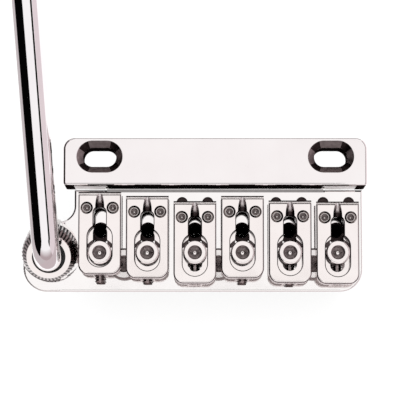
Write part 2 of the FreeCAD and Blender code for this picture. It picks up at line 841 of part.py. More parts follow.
def cut_saddle_screw_holes(body, label):
    """Two upright holes for the height screws and one from behind for the intonation screw."""
    top = dim("saddle_top")
    upright = new_sketch(body, f"{label}_height_holes", "XY_Plane", top)
    for sign in (-1, 1):
        x = dim("height_screw_spread") * sign
        circle(upright, x, -dim("height_screw_front"), dim("height_screw_radius") + dim("screw_gap"))
    pocket(body, f"{label}_height_cut", upright, top - dim("saddle_under") + OVER)
    lengthways = new_sketch(body, f"{label}_rear_hole", "XZ_Plane", dim("saddle_length") + OVER)
    hole = dim("intonation_screw_radius") + dim("screw_gap")
    circle(lengthways, ZERO, dim("intonation_screw_height"), hole)
    depth = dim("pocket_wall") + dim("pocket_width") * HALF + OVER
    pocket(body, f"{label}_rear_cut", lengthways, depth)


def make_saddle_screws(number):
    """The two height screws, the clamp screw and the intonation screw of one saddle."""
    saddle_y = -dim("saddle_front") - dim(f"saddle_back_{number}")
    tip_z = groove_floor + dim("foot_gap")
    pair = []
    for side, sign in (("left", -1), ("right", 1)):
        screw = grub_screw(
            f"height_screw_{number}_{side}",
            dim("height_screw_radius"),
            dim("saddle_top") - dim("height_screw_sink") - tip_z,
            dim("height_tip_radius"),
            dim("height_tip_length"),
        )
        x = string_x(number) + dim("height_screw_spread") * sign
        place(screw, x=x, y=saddle_y - dim("height_screw_front"), z=tip_z)
        pair.append(screw)
    group(f"height_screws_{number}", pair)
    clamp = cap_screw(
        f"clamp_screw_{number}",
        dim("clamp_radius"),
        head_seat - plate_bottom,
        dim("clamp_head_radius"),
        dim("clamp_head"),
        dim("clamp_chamfer"),
        dim("clamp_key"),
        dim("clamp_key_depth"),
    )
    place(clamp, x=string_x(number), y=-clamp_back, z=head_seat)
    keep_part(clamp)
    intonation = grub_screw(
        f"intonation_screw_{number}",
        dim("intonation_screw_radius"),
        dim("intonation_screw_length"),
        dim("intonation_tip_radius"),
        dim("intonation_tip_length"),
    )
    tip_y = -clamp_back - dim("clamp_radius") - dim(f"intonation_slack_{number}")
    lying = as_size(RIGHT_ANGLE)
    z = dim("intonation_screw_height")
    place(intonation, x=string_x(number), y=tip_y, z=z, axis=(1, 0, 0), angle=lying)
    keep_part(intonation)


def make_arm_socket():
    """The threaded post in the ear, cut flush with the plate's underside, with a closed floor."""
    outer, inner = dim("socket_radius"), dim("collet_radius")
    top, floor = dim("socket_top"), -dim("collet_depth")
    post = turned(
        "socket_blank",
        [
            (ZERO, -dim("socket_depth")),
            (outer, -dim("socket_depth")),
            (outer, top),
            (inner, top),
            (inner, floor),
            (ZERO, floor),
        ],
    )
    on_post(post)
    below = doc.addObject("Part::Box", "socket_trim")
    size = dim("socket_radius") * 2 + dim("socket_depth")
    for prop in ("Length", "Width", "Height"):
        bind(below, prop, size)
    place(
        below,
        x=-post_left - size * HALF,
        y=-dim("post_back") - size * HALF,
        z=plate_bottom - size,
    )
    cut = doc.addObject("Part::Cut", "arm_socket")
    cut.Label = "arm_socket"
    cut.Base = post
    cut.Tool = below
    doc.recompute()
    keep_part(cut)


def make_arm_collet():
    """The plastic sleeve that grips the arm, with a flange that the nut presses on."""
    bore, outer = dim("arm_radius") + dim("running_gap"), dim("collet_radius")
    top, flange = dim("socket_top"), dim("collet_flange")
    collet = turned(
        "arm_collet",
        [
            (bore, -dim("collet_depth")),
            (outer, -dim("collet_depth")),
            (outer, top),
            (dim("collet_flange_radius"), top),
            (dim("collet_flange_radius"), top + flange),
            (bore, top + flange),
        ],
    )
    on_post(collet)
    keep_part(collet)


def make_tension_nut():
    """The knurled cap nut round the arm: straight V grooves cut round its rim."""
    height, outer = dim("nut_height"), dim("nut_radius")
    gap = dim("nut_gap")
    inner = dim("socket_radius") + gap
    shoulder = height - dim("nut_cone")
    body = turned(
        "tension_nut",
        [
            (inner, gap),
            (outer, gap),
            (outer, shoulder),
            (dim("nut_flat_radius"), height),
            (dim("nut_mouth_radius"), height),
            (dim("nut_mouth_radius"), height - dim("nut_cap")),
            (inner, height - dim("nut_cap")),
        ],
    )
    notch = new_sketch(body, "nut_notch", "XY_Plane", height)
    depth = dim("knurl_depth")
    outside = outer + depth
    polygon(notch, [(outer - depth, ZERO), (outside, -depth * 2), (outside, depth * 2)])
    cut = pocket(body, "nut_notch_cut", notch, height)
    ring = body.newObject("PartDesign::PolarPattern", "nut_knurl")
    ring.Originals = [cut]
    ring.Axis = (notch, ["N_Axis"])
    ring.Angle = FULL_TURN
    bind(ring, "Occurrences", dim("knurl_count"))
    body.Tip = ring
    doc.recompute()
    on_post(body)
    keep_part(body)


def make_tremolo_arm():
    """The arm: a round bar up out of the post, bent forward, with a slight second bend before its tip."""
    body = new_body("tremolo_arm")
    radius = dim("arm_radius")
    foot = dim("arm_foot_gap") - dim("collet_depth")
    bend, rise = dim("arm_bend_radius"), dim("arm_bend_start")
    crest = rise + bend
    second, turn = dim("arm_second_radius"), dim("arm_second_angle")
    run_end = bend + dim("arm_run")
    second_y = run_end + second * sine(turn)
    second_z = crest - second + second * cosine(turn)
    tip_y = second_y + dim("arm_tip_run") * cosine(turn)
    tip_z = second_z - dim("arm_tip_run") * sine(turn)
    section = new_sketch(body, "arm_section", "XY_Plane", foot)
    circle(section, ZERO, ZERO, radius)
    path = new_sketch(body, "arm_path", "YZ_Plane")
    up = FreeCAD.Vector(0, 0, 1)
    first_circle = Part.Circle(flat(bend, rise), up, bend.value)
    second_circle = Part.Circle(flat(run_end, crest - second), up, second.value)
    level = math.pi * HALF
    path.addGeometry(Part.LineSegment(flat(ZERO, foot), flat(ZERO, rise)))
    path.addGeometry(Part.ArcOfCircle(first_circle, level, math.pi))
    path.addGeometry(Part.LineSegment(flat(bend, crest), flat(run_end, crest)))
    path.addGeometry(Part.ArcOfCircle(second_circle, level - math.radians(turn.value), level))
    path.addGeometry(Part.LineSegment(flat(second_y, second_z), flat(tip_y, tip_z)))
    for first, first_end, following, start in ((0, 2, 1, 2), (1, 1, 2, 1), (2, 2, 3, 2), (3, 1, 4, 1)):
        path.addConstraint(Sketcher.Constraint("Coincident", first, first_end, following, start))
    pin(path, 0, 1, ZERO, foot)
    pin(path, 0, 2, ZERO, rise)
    pin(path, 2, 1, bend, crest)
    pin(path, 2, 2, run_end, crest)
    pin(path, 4, 1, second_y, second_z)
    pin(path, 4, 2, tip_y, tip_z)
    for arc, size in ((1, bend), (3, second)):
        rule = path.addConstraint(Sketcher.Constraint("Radius", arc, size.value))
        path.setExpression(f"Constraints[{rule}]", size.text)
    doc.recompute()
    sweep = body.newObject("PartDesign::AdditivePipe", "arm_sweep")
    sweep.Profile = section
    sweep.Spine = (path, [f"Edge{i + 1}" for i in range(path.GeometryCount)])
    settle(body, sweep)
    far_y = tip_y.value - radius.value
    tip_ring = lambda points: min(p.y for p in points) > far_y and is_end(points)
    feature = dress(body, "Fillet", "arm_tip", sweep, tip_ring, dim("arm_tip_round"))
    foot_ring = at_height(foot, lambda p: True)
    dress(body, "Fillet", "arm_foot", feature, foot_ring, dim("arm_foot_round"))
    on_post(body, ZERO, dim("arm_swing_angle"))
    keep_part(body)


def is_end(points):
    """True for the edge round the arm's tip: its points lie in one plane square to the last run."""
    turn = math.radians(dim("arm_second_angle").value)
    along = [p.y * math.cos(turn) - p.z * math.sin(turn) for p in points]
    return max(along) - min(along) < dim("reach_of_find").value


def check_all():
    """Stop if any object failed or any sub-part's shape is empty or broken."""
    doc.recompute()
    for obj in doc.Objects:
        if "Invalid" in obj.State or "Error" in obj.State:
            raise RuntimeError(f"{obj.Label} failed: {obj.State}")
    for part in parts:
        if part.Shape.isNull() or not part.Shape.isValid():
            raise RuntimeError(f"{part.Label} has a broken shape")


make_front_bar()
make_hinge()
make_bridge_plate()
make_sustain_block()
make_block_screws()
for string_number in STRINGS:
    make_saddle(string_number)
    make_saddle_screws(string_number)
make_arm_socket()
make_arm_collet()
make_tension_nut()
make_tremolo_arm()
check_all()
os.makedirs("parts", exist_ok=True)
for part in parts:
    part.Shape.exportStep(f"parts/{part.Label}.step")
    print(part.Label, len(part.Shape.Solids), "solids", round(part.Shape.Volume, 2), "mm3")
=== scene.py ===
# %% [markdown]
# # A tremolo bridge for a left-handed guitar
# This lesson dresses a packed metal assembly: a bar that is screwed to the guitar, and behind it
# a plate that tilts, with six saddles for the strings and a bent arm to rock it.
# The shapes of the metal pieces are given. We add the screws' threads, the finishes, the light
# and a camera.

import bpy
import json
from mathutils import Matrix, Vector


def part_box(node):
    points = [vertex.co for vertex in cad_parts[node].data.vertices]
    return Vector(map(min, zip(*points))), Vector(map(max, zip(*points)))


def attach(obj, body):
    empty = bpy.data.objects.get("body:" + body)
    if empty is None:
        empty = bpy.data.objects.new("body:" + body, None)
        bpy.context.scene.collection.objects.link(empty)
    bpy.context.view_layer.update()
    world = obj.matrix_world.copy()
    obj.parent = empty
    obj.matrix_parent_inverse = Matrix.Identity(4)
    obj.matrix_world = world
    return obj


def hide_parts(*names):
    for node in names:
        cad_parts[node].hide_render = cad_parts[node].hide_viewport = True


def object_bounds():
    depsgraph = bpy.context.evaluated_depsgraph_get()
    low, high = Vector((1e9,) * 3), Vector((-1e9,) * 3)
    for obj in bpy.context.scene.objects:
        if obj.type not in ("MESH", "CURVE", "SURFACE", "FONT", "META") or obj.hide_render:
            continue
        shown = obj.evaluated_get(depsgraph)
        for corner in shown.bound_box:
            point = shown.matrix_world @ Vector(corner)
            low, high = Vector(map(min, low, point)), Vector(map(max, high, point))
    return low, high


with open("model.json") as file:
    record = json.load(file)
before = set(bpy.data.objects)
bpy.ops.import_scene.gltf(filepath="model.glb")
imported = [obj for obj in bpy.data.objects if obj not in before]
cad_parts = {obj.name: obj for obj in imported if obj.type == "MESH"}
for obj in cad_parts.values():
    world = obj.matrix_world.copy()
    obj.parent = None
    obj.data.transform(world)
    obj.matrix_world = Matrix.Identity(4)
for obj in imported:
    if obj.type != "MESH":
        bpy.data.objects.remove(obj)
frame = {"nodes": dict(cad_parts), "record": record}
cad_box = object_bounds()

# %% [markdown]
# Every length below is written in millimetres and multiplied by MM, because Blender's unit
# is the metre. The bridge's six strings stand one pitch apart, and most small pieces repeat
# with them.

# %% Units and the strings' places
import json
import math

import bmesh
import bpy
from mathutils import Matrix, Vector

MM = 0.001
STRINGS = range(1, 7)
MIDDLE = 3.5  # half way from string 3 to string 4
STRING_PITCH = 10.8 * MM
STRING_SHIFT = 0.75 * MM
STRING_HOLE_Y = -16.6 * MM
nodes = frame["nodes"]
scene = bpy.context.scene


def string_x(number):
    """The place of a string across the bridge, counted from the left."""
    return STRING_SHIFT + STRING_PITCH * (number - MIDDLE)


print("outer strings are", round((string_x(6) - string_x(1)) / MM, 1), "mm apart")

# %% [markdown]
# A colour is written as a hex code, the way a colour picker shows it. A shader counts light instead,
# so one function turns the code to linear values by the standard curve. A second one adds a node, sets
# its fields and either links or fills each socket: that is all the node code a material needs.

# %% Helpers for materials


def linear(code):
    """A hex colour code as the linear values that a shader takes."""
    shares = [int(code[i:i + 2], 16) / 255 for i in (1, 3, 5)]
    return [s / 12.92 if s <= 0.04045 else ((s + 0.055) / 1.055) ** 2.4 for s in shares] + [1.0]


def add(tree, kind, inputs=None, **fields):
    """Add a node with its fields, and link or fill its sockets."""
    node = tree.nodes.new(kind)
    for name, value in fields.items():
        setattr(node, name, value)
    for name, value in (inputs or {}).items():
        if isinstance(value, bpy.types.NodeSocket):
            tree.links.new(value, node.inputs[name])
        else:
            node.inputs[name].default_value = value
    return node


def blank_material(name):
    """A new material with only a shader and its output."""
    material = bpy.data.materials.new(name)
    material.use_nodes = True
    tree = material.node_tree
    return material, tree, tree.nodes["Principled BSDF"]


print("pure white is", linear("#FFFFFF"))

# %% [markdown]
# Some kinds of node come back again and again, so each gets a short name.
# A mix node has sockets for numbers, vectors and colours: 6 and 7 are its colours,
# and output 2 is their mix. Sockets 1 to 4 of a map range are the ends of the range it reads
# and of the range it gives.

# %% Short names for common nodes


def calc(tree, operation, *values):
    """The result of one sum of numbers."""
    return add(tree, "ShaderNodeMath", dict(enumerate(values)), operation=operation).outputs[0]


def vectors(tree, operation, *values):
    """The outputs of one sum of vectors: a Vector and a Value."""
    return add(tree, "ShaderNodeVectorMath", dict(enumerate(values)), operation=operation).outputs


def either(tree, mask, *others):
    """A mask that is 1 where any of the given masks is."""
    for other in others:
        mask = calc(tree, "MAXIMUM", mask, other)
    return mask


def blend(tree, share, first, second):
    """A mix of two colours."""
    return add(tree, "ShaderNodeMix", {0: share, 6: first, 7: second}, data_type="RGBA").outputs[2]


def ramp(tree, value, start, end, low, high):
    """A value that runs from low to high while another one runs from start to end."""
    inputs = {"Value": value, 1: start, 2: end, 3: low, 4: high}
    return add(tree, "ShaderNodeMapRange", inputs).outputs[0]


def noise(tree, place, size, detail=2.0):
    """A soft random pattern with spots of about the given size."""
    inputs = {"Vector": place, "Scale": 1 / size, "Detail": detail}
    return add(tree, "ShaderNodeTexNoise", inputs).outputs["Fac"]


print("short names:", ", ".join(f.__name__ for f in (calc, vectors, either, blend, ramp, noise)))

# %% [markdown]
# Polished nickel is what the whole bridge wears: steel that was ground, buffed on a cloth wheel
# and plated. It is a mirror with a warm tint. A perfect mirror looks false, so two things break it:
# soft clouds where the wheel pressed more or less, and hair lines that the last grit left.
# Both are patterns in the object's own space, with scales worked out from their size in millimetres.

# %% How a metal is made
RELIEF = 0.02 * MM
CLOUD_LOW, CLOUD_HIGH = 0.3, 0.7  # most of a noise's values lie between these
ALONG_X, ALONG_Y, ALONG_Z = (0.03, 1, 1), (1, 0.03, 1), (1, 1, 0.03)


def metal(name, light, dark, roughness, cloud, hair, along, depth):
    """A metal: two tints in clouds, uneven polish and hair lines that run along an axis."""
    material, tree, shader = blank_material(name)
    place = add(tree, "ShaderNodeTexCoord").outputs["Object"]
    clouds = noise(tree, place, cloud, detail=3.0)
    tint = blend(tree, clouds, linear(light), linear(dark))
    polish = ramp(tree, clouds, CLOUD_LOW, CLOUD_HIGH, *roughness)
    squeeze = add(tree, "ShaderNodeMapping", {"Vector": place, "Scale": along})
    hairs = noise(tree, squeeze.outputs[0], hair)
    relief = add(tree, "ShaderNodeBump", {"Height": hairs, "Strength": depth, "Distance": RELIEF})
    shader.inputs["Metallic"].default_value = 1.0
    tree.links.new(tint, shader.inputs["Base Color"])
    tree.links.new(polish, shader.inputs["Roughness"])
    tree.links.new(relief.outputs[0], shader.inputs["Normal"])
    return material


print("hair lines are", round(RELIEF / MM, 3), "mm deep at most")

# %% The plated and machined metals
nickel_bar = metal(
    "nickel_buffed_along_bar", "#FAF5F5", "#F2EBEB",
    roughness=(0.03, 0.07), cloud=9 * MM, hair=0.25 * MM, along=ALONG_X, depth=0.05,
)
nickel_saddle = metal(
    "nickel_buffed_along_strings", "#FBF4F2", "#F3EAE8",
    roughness=(0.04, 0.09), cloud=5 * MM, hair=0.2 * MM, along=ALONG_Y, depth=0.06,
)
nickel_arm = metal(
    "nickel_drawn_and_buffed", "#FAF7F8", "#F1ECEE",
    roughness=(0.03, 0.06), cloud=12 * MM, hair=0.3 * MM, along=ALONG_Y, depth=0.03,
)
steel_screw = metal(
    "steel_rolled_and_plated", "#CFC8C6", "#B3ABA9",
    roughness=(0.12, 0.24), cloud=1.5 * MM, hair=0.12 * MM, along=ALONG_X, depth=0.1,
)
# The studs' dark tint is painted reflection: it stands in for the dark surroundings their threads
# mirror.
steel_stud = metal(
    "steel_rolled_painted_dark", "#8A7F7E", "#3E3535",
    roughness=(0.08, 0.15), cloud=0.8 * MM, hair=0.12 * MM, along=ALONG_X, depth=0.1,
)
steel_cap = metal(
    "steel_turned_and_plated", "#F5F0EF", "#E6DFDD",
    roughness=(0.08, 0.14), cloud=3 * MM, hair=0.15 * MM, along=ALONG_X, depth=0.08,
)
steel_turned = metal(
    "steel_turned_bright", "#D8D3D0", "#C4BEBB",
    roughness=(0.12, 0.2), cloud=3 * MM, hair=0.15 * MM, along=ALONG_X, depth=0.12,
)
brass_turned = metal(
    "brass_turned", "#6E6046", "#54482F",
    roughness=(0.15, 0.25), cloud=2 * MM, hair=0.15 * MM, along=ALONG_X, depth=0.1,
)
print("made", len(bpy.data.materials), "materials so far")

# %% [markdown]
# One piece of metal rarely has one finish. A buffing wheel can't reach into a slot, a groove or a bore,
# so those stay duller and darker than the faces round them. We could split the mesh and give each zone
# its own material, but the given meshes stay as they are. So a mask, made from the object's own
# coordinates, is 1 inside the zone, and there a second finish is mixed over the first.

# %% Where a point is


def spot_of(tree):
    """The parts of a point's place and of its face's direction, in the object's own space."""
    origin = add(tree, "ShaderNodeTexCoord")
    place = add(tree, "ShaderNodeSeparateXYZ", {0: origin.outputs["Object"]}).outputs
    facing = add(tree, "ShaderNodeSeparateXYZ", {0: origin.outputs["Normal"]}).outputs
    return place, facing


def from_string(tree, x):
    """The distance to the nearest string's axis across the bridge, by a ping-pong half a pitch long."""
    return calc(tree, "PINGPONG", calc(tree, "SUBTRACT", x, string_x(0)), STRING_PITCH / 2)


def round_string(tree, place, y):
    """The distance from an upright axis that stands on the nearest string, at a place along it."""
    lengthways = calc(tree, "SUBTRACT", place["Y"], y)
    flat = add(tree, "ShaderNodeCombineXYZ", {"X": from_string(tree, place["X"]), "Y": lengthways})
    return vectors(tree, "LENGTH", flat.outputs[0])["Value"]


print("a ping-pong folds", len(STRINGS), "strings into one")

# %% [markdown]
# A mask is a product of limits. A face that points straight along an axis has a 1 or a -1 there,
# give or take rounding, so the limits on a facing run a little past that.

# %% Masks and second finishes
UPWARDS, DOWNWARDS, REARWARDS = (0.9, 1.1), (-1.1, -0.5), (-1.1, -0.8)
FROM_AXIS = -1.0  # less than any distance, so that a mask starts at the axis itself


def inside(tree, *limits):
    """A mask that is 1 where every value lies between its two limits."""
    mask = 1.0
    for value, low, high in limits:
        near = calc(tree, "COMPARE", value, (low + high) / 2, (high - low) / 2)
        mask = calc(tree, "MULTIPLY", near, mask)
    return mask


def lay_over(material, mask, light, dark, grain, roughness, metallic=1.0):
    """Mix a second finish into a metal where a mask is 1: two tints in grains, and one roughness."""
    tree = material.node_tree
    shader = tree.nodes["Principled BSDF"]
    place = add(tree, "ShaderNodeTexCoord").outputs["Object"]
    dull = blend(tree, noise(tree, place, grain), linear(light), linear(dark))
    bare = shader.inputs["Base Color"].links[0].from_socket
    tree.links.new(blend(tree, mask, bare, dull), shader.inputs["Base Color"])
    polish = shader.inputs["Roughness"].links[0].from_socket
    rough = add(tree, "ShaderNodeMix", {0: mask, 2: polish, 3: roughness}, data_type="FLOAT")
    tree.links.new(rough.outputs[0], shader.inputs["Roughness"])
    if metallic < 1:
        tree.links.new(ramp(tree, mask, 0.0, 1.0, 1.0, metallic), shader.inputs["Metallic"])


print("a mask is made of limits on place and facing")

# %% [markdown]
# The studs behind the saddles are tinted dark as painted reflection, and the crown of their threads
# is lighter as a painted highlight.

# %% The studs' painted highlight on the crown
CROWN_ACROSS, CROWN_UP = (-0.3, 0.25), (0.3, 1.1)
tree = steel_stud.node_tree
facing = spot_of(tree)[1]
crown = inside(tree, (facing["X"], *CROWN_ACROSS), (facing["Z"], *CROWN_UP))
# painted highlight on the upward-facing crown of the threads
lay_over(steel_stud, crown, "#CFC6C5", "#A89D9C", grain=0.6 * MM, roughness=0.15)
print("the crown of", steel_stud.name, "is bare")

# %% [markdown]
# The bar's slots are countersunk by a cutter that leaves rings, and no wheel gets in, so they
# stay dull. Their darker tint is painted shade, and their corners are darker still, as painted shade.

# %% The bar's countersunk slots
SLOT_SPREAD, SLOT_HALF_LENGTH, SLOT_HALF_WIDTH = 26.5 * MM, 5.35 * MM, 3.75 * MM
SINK_FOOT, SINK_TOP = 6.48 * MM, 7.96 * MM
CORNER_TURN = (0.2, 0.6)
tree = nickel_bar.node_tree
place, facing = spot_of(tree)
outwards = calc(tree, "ABSOLUTE", place["X"])
slot = [
    (outwards, SLOT_SPREAD - SLOT_HALF_LENGTH, SLOT_SPREAD + SLOT_HALF_LENGTH),
    (place["Y"], -SLOT_HALF_WIDTH, SLOT_HALF_WIDTH),
]
sink = [*slot, (place["Z"], SINK_FOOT, SINK_TOP)]
# painted shade: the sinks' darker tint
lay_over(nickel_bar, inside(tree, *sink), "#C4B8B8", "#7F7373", grain=0.9 * MM, roughness=0.36)
# more painted shade where the sinks turn at the corners
corners = inside(tree, *sink, (calc(tree, "ABSOLUTE", facing["X"]), *CORNER_TURN))
lay_over(nickel_bar, corners, "#4A4040", "#241C1C", grain=0.9 * MM, roughness=0.3)
print("dull slots", round(2 * SLOT_SPREAD / MM, 1), "mm apart")

# %% [markdown]
# The slots' straight sides below the sinks get painted shade: matt and almost black, with no shine.
# So does the bar's rear face over the plate's channel and at its tips. Between them it is satin.

# %% The slots' sides and the bar's rear face
BAR_FOOT, BAR_REAR = 0.2 * MM, (-20 * MM, -5 * MM)
CHANNEL_END, PLATE_SIDE, PAST_BAR = 24.6 * MM, 32.3 * MM, 50 * MM
sides = inside(tree, *slot, (place["Z"], BAR_FOOT, SINK_FOOT))
rear = [(facing["Y"], *REARWARDS), (place["Y"], *BAR_REAR)]
over_channel = inside(tree, *rear, (outwards, FROM_AXIS, CHANNEL_END))
tips = inside(tree, *rear, (outwards, PLATE_SIDE, PAST_BAR))
# painted shade on the slots' sides and on the rear face over the channel and at the tips
black = either(tree, sides, over_channel, tips)
lay_over(nickel_bar, black, "#1B1515", "#0F0B0B", grain=0.4 * MM, roughness=0.9, metallic=0.0)
tree.nodes["Principled BSDF"].inputs["Specular IOR Level"].default_value = 0.0
ends = inside(tree, *rear, (outwards, CHANNEL_END, PLATE_SIDE))
lay_over(nickel_bar, ends, "#E9E3E3", "#CFC7C7", grain=0.8 * MM, roughness=0.3)
print("the channel is", round(2 * CHANNEL_END / MM, 1), "mm long")

# %% [markdown]
# A saddle is buffed on top and round its sides. The opening for the string and its clamp is milled.
# Its walls and rims get painted shade, and so does the ramp in its neck, darker as it goes down.
# Only the pocket's floor and the upper part of the neck are bright.

# %% The saddles' openings
SADDLE_TOP, SADDLE_UNDER = 11.2 * MM, 7.35 * MM
BELOW_TOP = SADDLE_TOP - 0.01 * MM  # keeps a mask off the top face
OPENING_HALF, NECK_HALF = 3.05 * MM, 1.5 * MM
RAMP_BRIGHT, RAMP_DARK = 10.3 * MM, 9.55 * MM
RIM_FOOT, NECK_PART = SADDLE_TOP - 0.2 * MM, (10.1 * MM, SADDLE_TOP - 0.25 * MM)
STEEP, ROUNDED, SLOPING = (-1, 0.6), (0.6, 0.9), (0.6, 0.93)
RAMP_FACING, NECK_FACING = (-1, 0.3), (-0.9, 0.3)
tree = nickel_saddle.node_tree
place, facing = spot_of(tree)
beside = from_string(tree, place["X"])
in_opening = (beside, FROM_AXIS, OPENING_HALF)
in_neck = (beside, FROM_AXIS, NECK_HALF)
in_height = (place["Z"], SADDLE_UNDER, BELOW_TOP)
walls = inside(tree, in_opening, in_height, (facing["Z"], *STEEP))
rims = inside(tree, in_opening, (place["Z"], RIM_FOOT, BELOW_TOP), (facing["Z"], *ROUNDED))
ramps = inside(tree, in_neck, in_height, (facing["Z"], *SLOPING), (facing["Y"], *RAMP_FACING))
ramps = calc(tree, "MULTIPLY", ramps, ramp(tree, place["Z"], RAMP_BRIGHT, RAMP_DARK, 0.0, 1.0))
# painted shade in the opening: its walls, its rims and the lower ramp
milled = either(tree, walls, rims, ramps)
lay_over(nickel_saddle, milled, "#4E4343", "#2B2324", grain=0.5 * MM, roughness=0.28)
necks = inside(tree, in_neck, (place["Z"], *NECK_PART), (facing["Y"], *NECK_FACING))
lay_over(nickel_saddle, necks, "#F3ECEC", "#C4B9B9", grain=0.5 * MM, roughness=0.3)
print("a saddle's opening is", round(2 * OPENING_HALF / MM, 1), "mm wide")

# %% [markdown]
# A painted shadow of the clamp's head lies on the pocket's floor before it,
# and a painted dark reflection runs along either edge of the bevel at the front.

# %% The saddles' painted shadow and front bevel lines
POCKET_FLOOR, FLOOR_PLAY = 8.7 * MM, 0.1 * MM
SHADOW_RADIUS, SHADOW_START, SHADOW_END = 3.5 * MM, 1.3 * MM, 9 * MM
BEVEL_FOOT, FOOT_LINE, TOP_LINE = 10.2 * MM, 10.62 * MM, 11.0 * MM
GROOVE_SIDE, PAST_SIDE = 1.3 * MM, 6 * MM
BEVEL_FACING, FRONT_FACING = (0.3, 0.95), (0.5, 1.1)
low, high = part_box("clamp_screw_1")
clamp_y = (low.y + high.y) / 2
head_shadow = inside(
    tree,
    (round_string(tree, place, clamp_y), FROM_AXIS, SHADOW_RADIUS),
    (place["Y"], clamp_y + SHADOW_START, clamp_y + SHADOW_END),
    (place["Z"], POCKET_FLOOR - FLOOR_PLAY, POCKET_FLOOR + FLOOR_PLAY),
    (facing["Z"], *UPWARDS),
)
# painted shadow of the clamp's head on the pocket's floor
lay_over(nickel_saddle, head_shadow, "#6A5F5F", "#463C3C", grain=0.6 * MM, roughness=0.3)
# painted reflection: a dark line along the top edge of the front bevel
top_lines = inside(
    tree,
    (facing["Y"], *BEVEL_FACING),
    (place["Z"], TOP_LINE, BELOW_TOP),
    (beside, GROOVE_SIDE, PAST_SIDE),
)
lay_over(nickel_saddle, top_lines, "#6A5F5F", "#463C3C", grain=0.8 * MM, roughness=0.3)
# painted reflection: a dark line along the foot of the front bevel
foot_lines = inside(tree, (facing["Y"], *FRONT_FACING), (place["Z"], BEVEL_FOOT, FOOT_LINE))
lay_over(nickel_saddle, foot_lines, "#4E4444", "#2B2424", grain=0.8 * MM, roughness=0.3)
print("the clamps stand at", round(clamp_y / MM, 2), "mm")

# %% [markdown]
# The rear and the underside were tumbled, not buffed, so they are satin, but for a patch of painted
# shade under the neck. The small rounds along the top's sides and rear are darkened as painted
# reflection.

# %% The saddles' rear, rounds and underside
REAR_PART = (-40 * MM, -25 * MM)
NECK_END = -19 * MM
PATCH_HALF, POCKET_SIDE = 2.0 * MM, 3.1 * MM
REAR_HEIGHT, ROUND_HEIGHT = (4 * MM, SADDLE_TOP - 0.05 * MM), (10.75 * MM, SADDLE_TOP - 0.02 * MM)
REAR_FACING, NOT_FRONT, HALF_UP = (-1.1, -0.35), (-1.1, 0.3), (0.2, 0.85)
rears = inside(
    tree, (facing["Y"], *REAR_FACING), (place["Z"], *REAR_HEIGHT), (place["Y"], *REAR_PART)
)
on_round = [(facing["Z"], *HALF_UP), (facing["Y"], *NOT_FRONT), (place["Z"], *ROUND_HEIGHT)]
side_rounds = inside(tree, *on_round, (beside, POCKET_SIDE, PAST_SIDE))
rear_rounds = inside(tree, *on_round, (place["Y"], *REAR_PART))
satin = either(tree, rears, inside(tree, (facing["Z"], *DOWNWARDS)))
lay_over(nickel_saddle, satin, "#FBF6F5", "#F3EDEC", grain=1.2 * MM, roughness=0.6)
# painted reflection: dark rounds along the top's sides and rear
rounds = either(tree, side_rounds, rear_rounds)
lay_over(nickel_saddle, rounds, "#7D7172", "#574C4D", grain=1.2 * MM, roughness=0.25)
# painted shade on the underside under the neck
patches = inside(
    tree, (beside, FROM_AXIS, PATCH_HALF), (facing["Z"], *DOWNWARDS), (place["Y"], NECK_END, 0)
)
lay_over(nickel_saddle, patches, "#2A2121", "#171111", grain=0.5 * MM, roughness=0.5)
print("saddles are milled inside and satin behind")

# %% [markdown]
# The sustain block is milled from bar and only ground, so it is duller, with the cutter's lines
# across it. Its string bores get painted shade: matt and almost black, with nothing of the mirror left.
# They go on up through the plate, so one function serves both.

# %% Milled steel with painted shade in the bores
BLOCK_BORE, PLATE_BORE = 2.75 * MM, 1.6 * MM


def darken_bores(material, radius):
    """Mix painted shade, a matt near-black finish, into a material, inside a radius round each string's
    axis.
    """
    tree = material.node_tree
    reach = round_string(tree, spot_of(tree)[0], STRING_HOLE_Y)
    bores = inside(tree, (reach, FROM_AXIS, radius))
    lay_over(material, bores, "#0D0A0A", "#070606", grain=0.4 * MM, roughness=1.0, metallic=0.0)


steel_block = metal(
    "steel_milled_and_ground", "#C9C4C1", "#B5AFAC",
    roughness=(0.22, 0.34), cloud=6 * MM, hair=0.35 * MM, along=ALONG_X, depth=0.3,
)
darken_bores(steel_block, BLOCK_BORE)
print("bores are dark in", steel_block.name)

# %% [markdown]
# The plate has two milled rests for each saddle's height screws, darkened as painted shade,
# and a strip under the bar that is greyed as painted shade. Its left flank, between the bar and
# the ear, is darkened as painted shade, and the round along the ear's rim is satin. Behind each
# string hole the plate gets painted shade.

# %% The plate
REST_ROW = [(-30.8 * MM, 32.3 * MM), (-17.25 * MM, -8.85 * MM), (3.3 * MM, 4.16 * MM)]
STRIP = [(-25.3 * MM, 25.3 * MM), (-7.85 * MM, -7.15 * MM), (4.0 * MM, 5 * MM)]
FLANK_LEFT, FLANK_RIGHT = -34 * MM, -25 * MM
EAR_LEFT, EAR_RIGHT = -60 * MM, -35.5 * MM
FLANK_FACING, RIM_FACING = (-1.1, -0.25), (0.05, 0.93)
BEHIND_HOLE, HOLE_SHADE = 0.9 * MM, 2.1 * MM
nickel_plate = metal(
    "nickel_buffed_plate", "#FDFAF9", "#F7F2F1",
    roughness=(0.03, 0.08), cloud=8 * MM, hair=0.25 * MM, along=ALONG_X, depth=0.05,
)
tree = nickel_plate.node_tree
place, facing = spot_of(tree)
rests = inside(tree, *[(place[axis], *ends) for axis, ends in zip("XYZ", REST_ROW)])
# painted shade on the rests
lay_over(nickel_plate, rests, "#4A4040", "#2E2626", grain=0.5 * MM, roughness=0.35)
# painted shade: the strip under the bar is greyed
under_bar = inside(tree, *[(place[axis], *ends) for axis, ends in zip("XYZ", STRIP)])
lay_over(nickel_plate, under_bar, "#9B9796", "#837F7F", grain=0.8 * MM, roughness=0.1)
